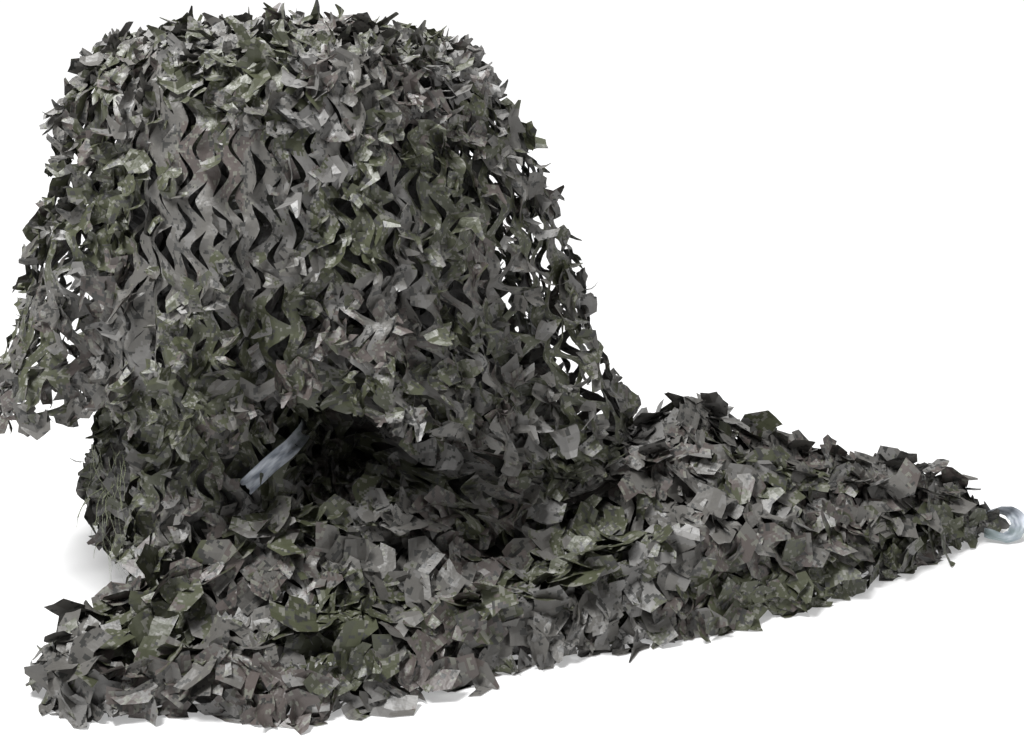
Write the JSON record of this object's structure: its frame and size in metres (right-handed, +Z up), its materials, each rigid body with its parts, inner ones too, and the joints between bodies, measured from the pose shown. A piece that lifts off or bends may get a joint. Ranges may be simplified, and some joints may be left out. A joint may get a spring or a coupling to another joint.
{
  "type": "camouflage net",
  "caption": "Leaf-cut camouflage net heaped on the floor: a draped upright mound, a long low tail and two sewn ribbon ties.",
  "frame": {"origin": "under the middle of the heap's outline, on the surface it lies on", "axes": "+X along the tail towards its tip, +Y towards the back of the heap, +Z up"},
  "size_m": [1.6046, 1.0012, 0.822],
  "materials": {
    "net_cloth": "satin polyester cloth, warm grey with olive and brown patches of small square flecks, die-cut into leaves",
    "ribbon": "satin ribbon, light blue-grey"
  },
  "bodies": {
    "root": {"net": "net_cloth", "tie_front": "ribbon", "tie_tail": "ribbon"}
  },
  "joints": []
}
